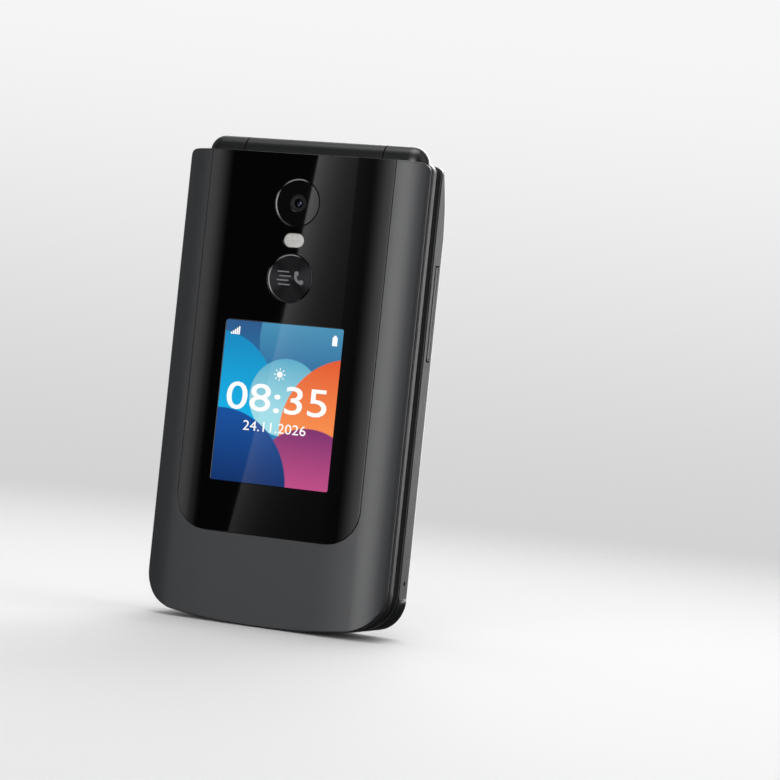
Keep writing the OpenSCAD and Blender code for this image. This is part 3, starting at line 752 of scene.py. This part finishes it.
class PHONE_OT_round_key(Step, bpy.types.Operator):
    """Spun round key with its printed handset and lines"""
    bl_idname = "phone.round_key"
    bl_label = "Round key"

    def execute(self, context):
        rim = context.scene.phone_sizes.dished_rim
        key = node_copy("round_key", "spun_round_key", "spun_black")
        top_face(key, FRONT)
        bpy.ops.mesh.bevel(offset=0.04 * MM, segments=2, affect="EDGES")
        object_mode()
        top_face(key, FRONT)
        bpy.ops.mesh.inset(thickness=rim, depth=-rim * DISH_SLOPE)
        object_mode()
        shade(key, corner=CRISP)
        key.data.materials.append(finish("window_black"))
        select_faces(key, lambda face: 0.2 < face.normal.dot(FRONT.col[2]) < 0.98)
        key.active_material_index = 1
        bpy.ops.object.material_slot_assign()
        object_mode()
        top = face_middle("round_key", FRONT) - FRONT.col[2] * rim * DISH_SLOPE
        parts = []
        line_l, line_h, line_gap = 2.85 * MM, 0.27 * MM, 0.92 * MM
        for i, shift in enumerate((0, 0.55 * MM, 0, 0.4 * MM)):
            at = top + FRONT @ Vector((-1.75 * MM + shift, (1.5 - i) * line_gap, 0))
            parts.append(plate(f"line_{i}", at, FRONT, rounded_outline(line_l, line_h, line_h * 0.48, 3),
                               -INLAY, INLAY))
        parts.append(handset("handset", top + FRONT @ Vector((1.75 * MM, 0, 0)), FRONT, 1.65 * MM, 35))
        assembled("round_key_print", parts, "round_key", "grey_ink")
        return {"FINISHED"}


def handset(name, centre, side, reach, turn):
    """The outline of a plain handset: a thin arc with two rounded ends."""
    grip, ear, spread = reach * 0.2, reach * 0.4, 52
    outer = arc(0, 0, reach + grip * 0.6, -spread, spread, 10)
    inner = arc(0, 0, reach - grip * 1.1, spread * 0.55, -spread * 0.55, 8)
    ends = []
    for sign in (1, -1):
        a = math.radians(sign * spread)
        x, y = (reach - ear * 0.35) * math.cos(a), (reach - ear * 0.35) * math.sin(a)
        cap = arc(x, y, ear * 0.8, sign * (spread - 10), sign * (spread + 220), 10)
        ends.append(cap if sign > 0 else cap[::-1])
    shape = outer[1:-1] + ends[0] + inner + ends[1]
    turn, middle_x = math.radians(turn), reach * 0.75
    shape = [(-(x - middle_x) * math.cos(turn) - y * math.sin(turn),
              -(x - middle_x) * math.sin(turn) + y * math.cos(turn)) for x, y in shape]
    return plate(name, centre, side, shape, -INLAY, INLAY)


class PHONE_OT_outer_display(Step, bpy.types.Operator):
    """Outer display with its lit picture, clock and status signs"""
    bl_idname = "phone.outer_display"
    bl_label = "Outer display"

    def execute(self, context):
        clock = context.scene.phone_sizes.clock
        node_copy("outer_display", "outer_display_panel")
        top = face_middle("outer_display", FRONT)
        width, height = 27.9 * MM, 34.9 * MM
        show_screen("outer", top, FRONT, width, height, clock, "outer_display")
        return {"FINISHED"}


def show_screen(name, centre, side, width, height, clock, node):
    """A lit picture on a node, with a clock, a date, a sun, signal bars and a battery sign."""
    picture = plate(f"{name}_picture", centre, side, rounded_outline(width, height, width * 0.016),
                    -INLAY, INLAY)
    settle(picture, node, lit_picture(f"display, {name} picture lit", centre, side, width))
    thin, stand = INLAY * 0.75, INLAY * 1.25    # half a figure's thickness, and where its middle stands

    def at(x, y):
        return centre + side @ Vector((x * width, y * width, stand))

    parts = [
        words("clock", "08:35", at(0, 0.03), side, clock, thin, narrow=1.32, weight=0.004),
        words("day", "24.11.2026", at(0, -0.185), side, clock * 0.36, thin, narrow=1.12),
        sun_sign("sun", at(0, 0.235), side, clock * 0.4, thin),
    ]
    bar = width * 0.0125
    corner = at(-0.455, 0.515)
    for i in range(5):
        tall, left = bar * (1.2 + i * 0.95), i * bar * 1.3
        outline = [(left, 0), (left + bar, 0), (left + bar, tall), (left, tall)]
        parts.append(plate(f"bar_{i}", corner, side, outline, -thin, thin))
    cell = width * 0.042
    parts.append(plate("battery_sign", at(0.435, 0.53), side, [
        (-cell / 2, -cell * 0.9), (cell / 2, -cell * 0.9), (cell / 2, cell * 0.7), (cell / 4, cell * 0.7),
        (cell / 4, cell), (-cell / 4, cell), (-cell / 4, cell * 0.7), (-cell / 2, cell * 0.7)], -thin, thin))
    settle(joined(f"{name}_figures", parts), node, finish("lit_white"))


def sun_sign(name, centre, side, size, thin):
    """A plain sun: a disc with eight short rays."""
    parts = [plate(name, centre, side, arc(0, 0, size * 0.27, 0, 345, 23), -thin, thin)]
    half = size * 0.045
    for i in range(8):
        a = math.radians(45 * i)
        out, across = Vector((math.cos(a), math.sin(a))), Vector((-math.sin(a), math.cos(a))) * half
        near, far = out * size * 0.38, out * size * 0.55
        corners = [near - across, far - across, far + across, near + across]
        parts.append(plate(f"{name}_ray_{i}", centre, side, [tuple(c) for c in corners], -thin, thin))
    return joined(name, parts)


class PHONE_OT_main_display(Step, bpy.types.Operator):
    """Inner display: cover glass with a lit picture behind it"""
    bl_idname = "phone.main_display"
    bl_label = "Main display"

    def execute(self, context):
        finished("display_glass", "main_cover_glass", 0.08 * MM)
        top = face_middle("display_glass", INSIDE)
        size = middle("main_display")[1]
        margins = 3 * MM
        show_screen("main", top, INSIDE, size.x - margins, size.z - margins,
                    context.scene.phone_sizes.clock * 1.5, "display_glass")
        return {"FINISHED"}


# ---- Meshes over the loudspeaker and the earpiece ----

def wire_mesh(node, name, sizes):
    """Two layers of crossed wires that fill a node's box."""
    centre, size = middle(node)
    radius, pitch = sizes.wire / 2, sizes.wire_pitch
    layers = []
    for along, across, turn in ((size.x, size.z, (0, math.radians(90), 0)), (size.z, size.x, (0, 0, 0))):
        upright = not any(turn)
        count = int((across - 2 * radius) / pitch) + 1
        offset = (count - 1) * pitch / 2
        start = centre + Vector((0, radius if upright else -radius, 0))
        start += Vector((-offset, 0, 0)) if upright else Vector((0, 0, -offset))
        bpy.ops.object.select_all(action="DESELECT")
        bpy.ops.mesh.primitive_cylinder_add(vertices=6, radius=radius, depth=along, location=start,
                                            rotation=turn)
        wire = bpy.context.active_object
        bpy.ops.object.transform_apply(location=True, rotation=True, scale=True)
        step = (pitch, 0, 0) if upright else (0, 0, pitch)
        modify(wire, "ARRAY", count=count, use_relative_offset=False, use_constant_offset=True,
               constant_offset_displace=step)
        layers.append(wire)
    mesh = joined(name, layers)
    shade(mesh)
    stand_in(mesh, node, "black_wire")


class PHONE_OT_meshes(Step, bpy.types.Operator):
    """Wire meshes behind the loudspeaker slots and the earpiece slot"""
    bl_idname = "phone.meshes"
    bl_label = "Wire meshes"

    def execute(self, context):
        sizes = context.scene.phone_sizes
        wire_mesh("speaker_mesh", "loudspeaker_wires", sizes)
        wire_mesh("earpiece_mesh", "earpiece_wires", sizes)
        return {"FINISHED"}


# ---- Keypad ----

def key_top(node, sizes):
    """A key with rounded edges and a gentle dome."""
    key = node_copy(node, f"{node}_cap")
    top_face(key, FRONT)
    bpy.ops.mesh.bevel(offset=sizes.key_edge, segments=4, affect="EDGES")
    object_mode()
    top_face(key, FRONT)
    rings, ring_width = 3, 0.55 * MM
    for _ in range(rings):
        bpy.ops.mesh.inset(thickness=ring_width, depth=0)
        bpy.ops.transform.translate(value=FRONT.col[2] * sizes.key_crown / rings)
    object_mode()
    shade(key)
    return key


FIGURES = {**{f"key_{n}": str(n) for n in range(10)}, "key_star": "*", "key_hash": "#"}


class PHONE_OT_keys(Step, bpy.types.Operator):
    """Number, call and soft keys with their legends"""
    bl_idname = "phone.keys"
    bl_label = "Keys"

    def execute(self, context):
        sizes = context.scene.phone_sizes
        others = ("send_key", "clear_key", "end_key", "left_soft_key", "right_soft_key", "message_key",
                  "menu_key")
        for node in (*FIGURES, *others):
            key_top(node, sizes)
        for node, figure in FIGURES.items():
            legend = words(f"{node}_legend", figure, print_place(node, sizes), FRONT, sizes.legend,
                           INLAY, narrow=0.9)
            settle(legend, node, finish("pale_ink"))
        return {"FINISHED"}


def print_place(node, sizes):
    """Middle of a key's domed top."""
    return face_middle(node, FRONT) + FRONT.col[2] * sizes.key_crown


def print_bar(name, centre, x, y, width, height, radius=0.0):
    """A printed bar whose middle is (right, up) from a key's middle."""
    x_end, y_end = width / 2, height / 2
    outline = rounded_outline(width, height, radius, 3) if radius else [
        (-x_end, -y_end), (x_end, -y_end), (x_end, y_end), (-x_end, y_end)]
    return plate(name, centre + FRONT @ Vector((x, y, 0)), FRONT, outline, -INLAY, INLAY)


class PHONE_OT_key_signs(Step, bpy.types.Operator):
    """Printed signs of the call, clear, soft, message and menu keys"""
    bl_idname = "phone.key_signs"
    bl_label = "Key signs"

    def execute(self, context):
        sizes = context.scene.phone_sizes
        tall, line = sizes.legend * 0.8, sizes.legend * 0.12

        def place(node):
            return print_place(node, sizes)

        def printed(node, parts, ink="pale_ink"):
            assembled(f"{node}_sign", parts, node, ink)

        printed("send_key", [handset("send", place("send_key"), FRONT, tall * 0.6, 35)], "green_ink")
        printed("end_key", [handset("end", place("end_key"), FRONT, tall * 0.6, -90)], "red_ink")

        at = place("clear_key")
        head = [(-tall * 0.6, 0), (-tall * 0.1, -tall * 0.4), (-tall * 0.1, tall * 0.4)]
        printed("clear_key", [plate("head", at, FRONT, head, -INLAY, INLAY),
                              print_bar("tail", at, tall * 0.3, 0, tall * 0.6, line * 2)])
        for node in ("left_soft_key", "right_soft_key"):
            printed(node, [print_bar("bar", place(node), 0, 0, tall, line * 1.4, line * 0.6)])

        at, wide, high = place("message_key"), tall * 1.15, tall * 0.8
        letter = [print_bar("edge", at, 0, sign * (high - line) / 2, wide, line) for sign in (1, -1)]
        letter += [print_bar("end", at, sign * (wide - line) / 2, 0, line, high - 2 * line)
                   for sign in (1, -1)]
        for sign in (1, -1):
            fold = [(0, -line * 0.8), (sign * (wide / 2 - line), high / 2 - line * 1.7),
                    (sign * (wide / 2 - line), high / 2 - line), (0, line * 0.2)]
            letter.append(plate("fold", at, FRONT, fold[::sign], -INLAY, INLAY))
        printed("message_key", letter)

        at, dot = place("menu_key"), tall * 0.2
        dots = [print_bar("dot", at, column * dot * 1.9, row * dot * 1.9, dot, dot, dot * 0.3)
                for column in (-1, 0, 1) for row in (-1, 0, 1)]
        printed("menu_key", dots)
        return {"FINISHED"}


class PHONE_OT_navigation(Step, bpy.types.Operator):
    """Navigation ring with its direction marks, and the middle key"""
    bl_idname = "phone.navigation"
    bl_label = "Navigation keys"

    def execute(self, context):
        finished("nav_ring", "satin_navigation_ring", 0.3 * MM, 4)
        key_top("ok_key", context.scene.phone_sizes)
        top = face_middle("nav_ring", FRONT)
        reach = (middle("nav_ring")[1].x + middle("ok_key")[1].x) / 4
        mark_radius = 0.55 * MM
        marks = []
        for turn in range(4):
            points = arc(0, 0, mark_radius, 90 * turn, 90 * turn + 240, 2)
            place = Vector((math.cos(turn * math.pi / 2), math.sin(turn * math.pi / 2), 0)) * reach
            marks.append(plate("mark", top + FRONT @ place, FRONT, points, -INLAY, INLAY))
        assembled("navigation_marks", marks, "nav_ring", "pale_ink")
        return {"FINISHED"}


class PHONE_OT_other_finishes(Step, bpy.types.Operator):
    """Materials of every piece that keeps its construction shape"""
    bl_idname = "phone.other_finishes"
    bl_label = "Other finishes"

    def execute(self, context):
        for name, node in frame["nodes"].items():
            for slot in node.material_slots:
                slot.material = finish(SLOT[name])
        return {"FINISHED"}


# ---- Stage ----

# Softboxes of the studio: azimuths and then elevations, in degrees, at which each starts, is full,
# is full still and has ended, and its radiance. Azimuth 0 is in front of the lid and 90 on its right
SOFTBOXES = (
    ((-18, 8, 21, 38), (-18, -4, 18, 34), 7.0),         # key, in front and level
    ((-30, -10, 30, 60), (20, 34, 50, 66), 1.0),        # in front, high
    ((-48, -36, -10, 6), (-44, -34, -19, -13), 4.5),    # in front, from below
    ((-54, -46, -41, -31), (-12, -4, 8, 16), 1.4),      # left of the front
    ((60, 90, 115, 135), (-10, 15, 50, 70), 1.0),       # right side
    ((-150, -120, -90, -60), (-10, 10, 50, 70), 0.2),   # left side
    ((164, 176, 180, 181), (-12, -2, 26, 46), 7.5),     # behind and level
    ((-181, -180, -166, -140), (-12, -2, 26, 46), 7.5),
    ((-181, -180, -140, -115), (30, 44, 52, 70), 0.7),  # behind, left
    ((-180, -179, 179, 180), (58, 80, 90, 91), 5.4),    # overhead
)
# Slanted glows with one sharp edge, on its left, two across the front panel and one across the rear
# panel: two points (turn, elevation) on the edge, radiance, the degrees in which it fades, and elevations
# as above. The turn is the azimuth that a direction has once it is swung level about the X axis
GLOWS = (
    ((-25.91, -3.09), (-24.68, 5.47), 1.95, 0.42, (-9, 8, 10, 16)),
    ((-25.91, -3.09), (-24.68, 5.47), 0.22, 8.0, (-9, 8, 10, 16)),
    ((158.3, -3.0), (157.0, 42.0), 5.0, 4.5, (-6, -2, 8, 58)),
)
# Sines of the elevations between which the wall turns from its lower to its upper colour, a painted shade
# that darkens the wall towards the floor
WALL_TURNS = (-0.06, 0.16)


class PHONE_OT_stage(Step, bpy.types.Operator):
    """Pale floor, soft studio light, pale surroundings and the camera"""
    bl_idname = "phone.stage"
    bl_label = "Stage"

    def execute(self, context):
        stage = context.scene.phone_stage
        self.floor(stage)
        self.surroundings(context.scene, stage)
        self.camera(context.scene, stage)
        context.scene.view_settings.view_transform = "Standard"
        return {"FINISHED"}

    def floor(self, stage):
        bpy.ops.object.select_all(action="DESELECT")
        bpy.ops.mesh.primitive_circle_add(vertices=96, radius=stage.floor_radius, fill_type="NGON")
        floor = bpy.context.active_object
        floor.name = "floor"
        floor.visible_glossy = False      # the gloss shows the studio instead
        material = bpy.data.materials.new("pale paper floor")
        material.use_nodes = True
        tree = material.node_tree
        tree.nodes.clear()
        place = add_node(tree, "ShaderNodeTexCoord")
        away = add_node(tree, "ShaderNodeVectorMath", {"operation": "LENGTH"},
                        links={0: place.outputs["Object"]})
        fade = add_node(tree, "ShaderNodeMapRange", {"interpolation_type": "SMOOTHSTEP"},
                        {"From Min": stage.floor_radius * 0.1, "From Max": stage.floor_radius * 0.98},
                        {"Value": away.outputs["Value"]})
        paper = add_node(tree, "ShaderNodeBsdfPrincipled", values={
            "Base Color": (*stage.paper, 1), "Roughness": 0.8, "Specular IOR Level": 0.1})
        clear = add_node(tree, "ShaderNodeBsdfTransparent")
        mixed = add_node(tree, "ShaderNodeMixShader", links={"Fac": fade, 1: paper, 2: clear})
        add_node(tree, "ShaderNodeOutputMaterial", links={"Surface": mixed})
        floor.data.materials.append(material)

    def band(self, tree, value, limits, peak=1.0):
        """The peak between the middle two limits, in degrees, and softly down to 0 at the outer two."""
        start, full, still, end = (math.radians(limit) for limit in limits)
        rise = add_node(tree, "ShaderNodeMapRange", {"interpolation_type": "SMOOTHSTEP"},
                        {"From Min": start, "From Max": full, "To Max": peak}, {"Value": value})
        fall = add_node(tree, "ShaderNodeMapRange", {"interpolation_type": "SMOOTHSTEP"},
                        {"From Min": still, "From Max": end, "To Min": 1.0, "To Max": 0.0},
                        {"Value": value})
        return add_node(tree, "ShaderNodeMath", {"operation": "MULTIPLY"}, links={0: rise, 1: fall})

    def softbox(self, tree, azimuth, elevation, box):
        """Radiance of a softbox in a direction."""
        across, upright, radiance = box
        return add_node(tree, "ShaderNodeMath", {"operation": "MULTIPLY"}, links={
            0: self.band(tree, azimuth, across), 1: self.band(tree, elevation, upright, radiance)})

    def glow(self, tree, turn, elevation, sheet):
        """Radiance of a slanted glow: full at its sharp edge and fading past it."""
        (low_turn, low), (high_turn, high), radiance, fade_angle, heights = sheet
        slant = (high_turn - low_turn) / (high - low)
        edge = add_node(tree, "ShaderNodeMath", {"operation": "MULTIPLY_ADD"},
                        {1: slant, 2: math.radians(low_turn - slant * low)}, {0: elevation})
        turned_past = add_node(tree, "ShaderNodeMath", {"operation": "SUBTRACT"}, links={0: turn, 1: edge})
        scaled = add_node(tree, "ShaderNodeMath", {"operation": "MULTIPLY"},
                          {1: -1 / math.radians(fade_angle)}, {0: turned_past})
        past = add_node(tree, "ShaderNodeMath", {"operation": "MINIMUM"}, {1: 0.0}, {0: scaled})
        lit = add_node(tree, "ShaderNodeMath", {"operation": "LESS_THAN"}, {1: 0.0}, {0: past})
        share = add_node(tree, "ShaderNodeMath", {"operation": "EXPONENT"}, links={0: past})
        cut = add_node(tree, "ShaderNodeMath", {"operation": "MULTIPLY"}, links={0: lit, 1: share})
        return add_node(tree, "ShaderNodeMath", {"operation": "MULTIPLY"}, links={
            0: cut, 1: self.band(tree, elevation, heights, radiance)})

    def surroundings(self, scene, stage):
        """A pale wall for the camera, with painted shade that darkens it towards the floor, and a studio with
        softboxes for the light and the gloss.
        """
        world = scene.world or bpy.data.worlds.new("studio")
        scene.world = world
        world.use_nodes = True
        tree = world.node_tree
        tree.nodes.clear()
        place = add_node(tree, "ShaderNodeTexCoord")
        split = add_node(tree, "ShaderNodeSeparateXYZ", links={"Vector": place.outputs["Generated"]})
        x, y, z = split.outputs
        forward = add_node(tree, "ShaderNodeMath", {"operation": "MULTIPLY"}, {1: -1.0}, {0: y})
        azimuth = add_node(tree, "ShaderNodeMath", {"operation": "ARCTAN2"}, links={0: x, 1: forward})
        elevation = add_node(tree, "ShaderNodeMath", {"operation": "ARCSINE"}, links={0: z})
        square = add_node(tree, "ShaderNodeMath", {"operation": "MULTIPLY"}, links={0: x, 1: x})
        rest = add_node(tree, "ShaderNodeMath", {"operation": "SUBTRACT"}, {0: 1.0}, {1: square})
        root = add_node(tree, "ShaderNodeMath", {"operation": "SQRT"}, links={0: rest})
        facing = add_node(tree, "ShaderNodeMath", {"operation": "SIGN"}, links={0: forward})
        level = add_node(tree, "ShaderNodeMath", {"operation": "MULTIPLY"}, links={0: root, 1: facing})
        turn = add_node(tree, "ShaderNodeMath", {"operation": "ARCTAN2"}, links={0: x, 1: level})
        parts = [self.softbox(tree, azimuth, elevation, box) for box in SOFTBOXES]
        parts += [self.glow(tree, turn, elevation, sheet) for sheet in GLOWS]
        total = add_node(tree, "ShaderNodeMath", {"operation": "ADD"}, {1: stage.ambient}, {0: parts[0]})
        for part in parts[1:]:
            total = add_node(tree, "ShaderNodeMath", {"operation": "ADD"}, links={0: part, 1: total})
        studio = add_node(tree, "ShaderNodeBackground", links={"Strength": total})
        # Painted shade: the wall that the camera sees turns darker towards the floor
        height = add_node(tree, "ShaderNodeMapRange", {"interpolation_type": "SMOOTHSTEP"},
                          {"From Min": WALL_TURNS[0], "From Max": WALL_TURNS[1]}, {"Value": z})
        wall = add_node(tree, "ShaderNodeMix", {"data_type": "RGBA"},
                        {"A": (*stage.wall_low, 1), "B": (*stage.wall_high, 1)}, {"Factor": height})
        seen = add_node(tree, "ShaderNodeBackground", links={"Color": wall.outputs["Result"]})
        path = add_node(tree, "ShaderNodeLightPath")
        through = add_node(tree, "ShaderNodeMath", {"operation": "MAXIMUM"}, links={
            0: path.outputs["Is Camera Ray"], 1: path.outputs["Is Transmission Ray"]})
        mixed = add_node(tree, "ShaderNodeMixShader", links={"Fac": through, 1: studio, 2: seen})
        add_node(tree, "ShaderNodeOutputWorld", links={"Surface": mixed})

    def camera(self, scene, stage):
        bpy.ops.object.camera_add()
        camera = bpy.context.active_object
        camera.name = "camera"
        turn = (Matrix.Rotation(stage.azimuth, 4, "Z")
                @ Matrix.Rotation(math.radians(90) - stage.elevation, 4, "X")
                @ Matrix.Rotation(stage.roll, 4, "Z"))
        camera.matrix_world = Matrix.Translation(stage.camera_at) @ turn
        camera.data.sensor_width = 36
        camera.data.lens = stage.lens
        camera.data.clip_start = 10 * MM
        camera.data.clip_end = 5
        scene.camera = camera


GROUPS = {"phone_sizes": PhoneSizes, "phone_colours": PhoneColours, "phone_stage": StageSettings}
OPERATORS = (
    PHONE_OT_shells, PHONE_OT_frames, PHONE_OT_panels, PHONE_OT_bezels, PHONE_OT_camera_window,
    PHONE_OT_flash, PHONE_OT_round_key, PHONE_OT_outer_display, PHONE_OT_main_display, PHONE_OT_meshes,
    PHONE_OT_keys, PHONE_OT_key_signs, PHONE_OT_navigation, PHONE_OT_other_finishes, PHONE_OT_stage)


class PHONE_PT_panel(bpy.types.Panel):
    """Pieces and settings of the flip phone"""
    bl_idname = "PHONE_PT_panel"
    bl_label = "Flip phone"
    bl_space_type = "VIEW_3D"
    bl_region_type = "UI"
    bl_category = "Flip phone"

    def draw(self, context):
        for group in GROUPS:
            box = self.layout.box()
            settings = getattr(context.scene, group)
            for name in settings.bl_rna.properties.keys():
                if name not in ("rna_type", "name"):
                    box.prop(settings, name)
        for operator in OPERATORS:
            self.layout.operator(operator.bl_idname)


CLASSES = (*GROUPS.values(), *OPERATORS, PHONE_PT_panel)


def register():
    for cls in CLASSES:
        bpy.utils.register_class(cls)
    for name, group in GROUPS.items():
        setattr(bpy.types.Scene, name, bpy.props.PointerProperty(type=group))


def unregister():
    for name in reversed(GROUPS):
        delattr(bpy.types.Scene, name)
    for cls in reversed(CLASSES):
        bpy.utils.unregister_class(cls)


def main():
    register()
    bpy.ops.phone.shells()
    bpy.ops.phone.frames()
    bpy.ops.phone.panels()
    bpy.ops.phone.bezels()
    bpy.ops.phone.camera_window()
    bpy.ops.phone.flash()
    bpy.ops.phone.round_key()
    bpy.ops.phone.outer_display()
    bpy.ops.phone.main_display()
    bpy.ops.phone.meshes()
    bpy.ops.phone.keys()
    bpy.ops.phone.key_signs()
    bpy.ops.phone.navigation()
    bpy.ops.phone.other_finishes()
    bpy.ops.phone.stage()


if __name__ == "__main__":
    main()
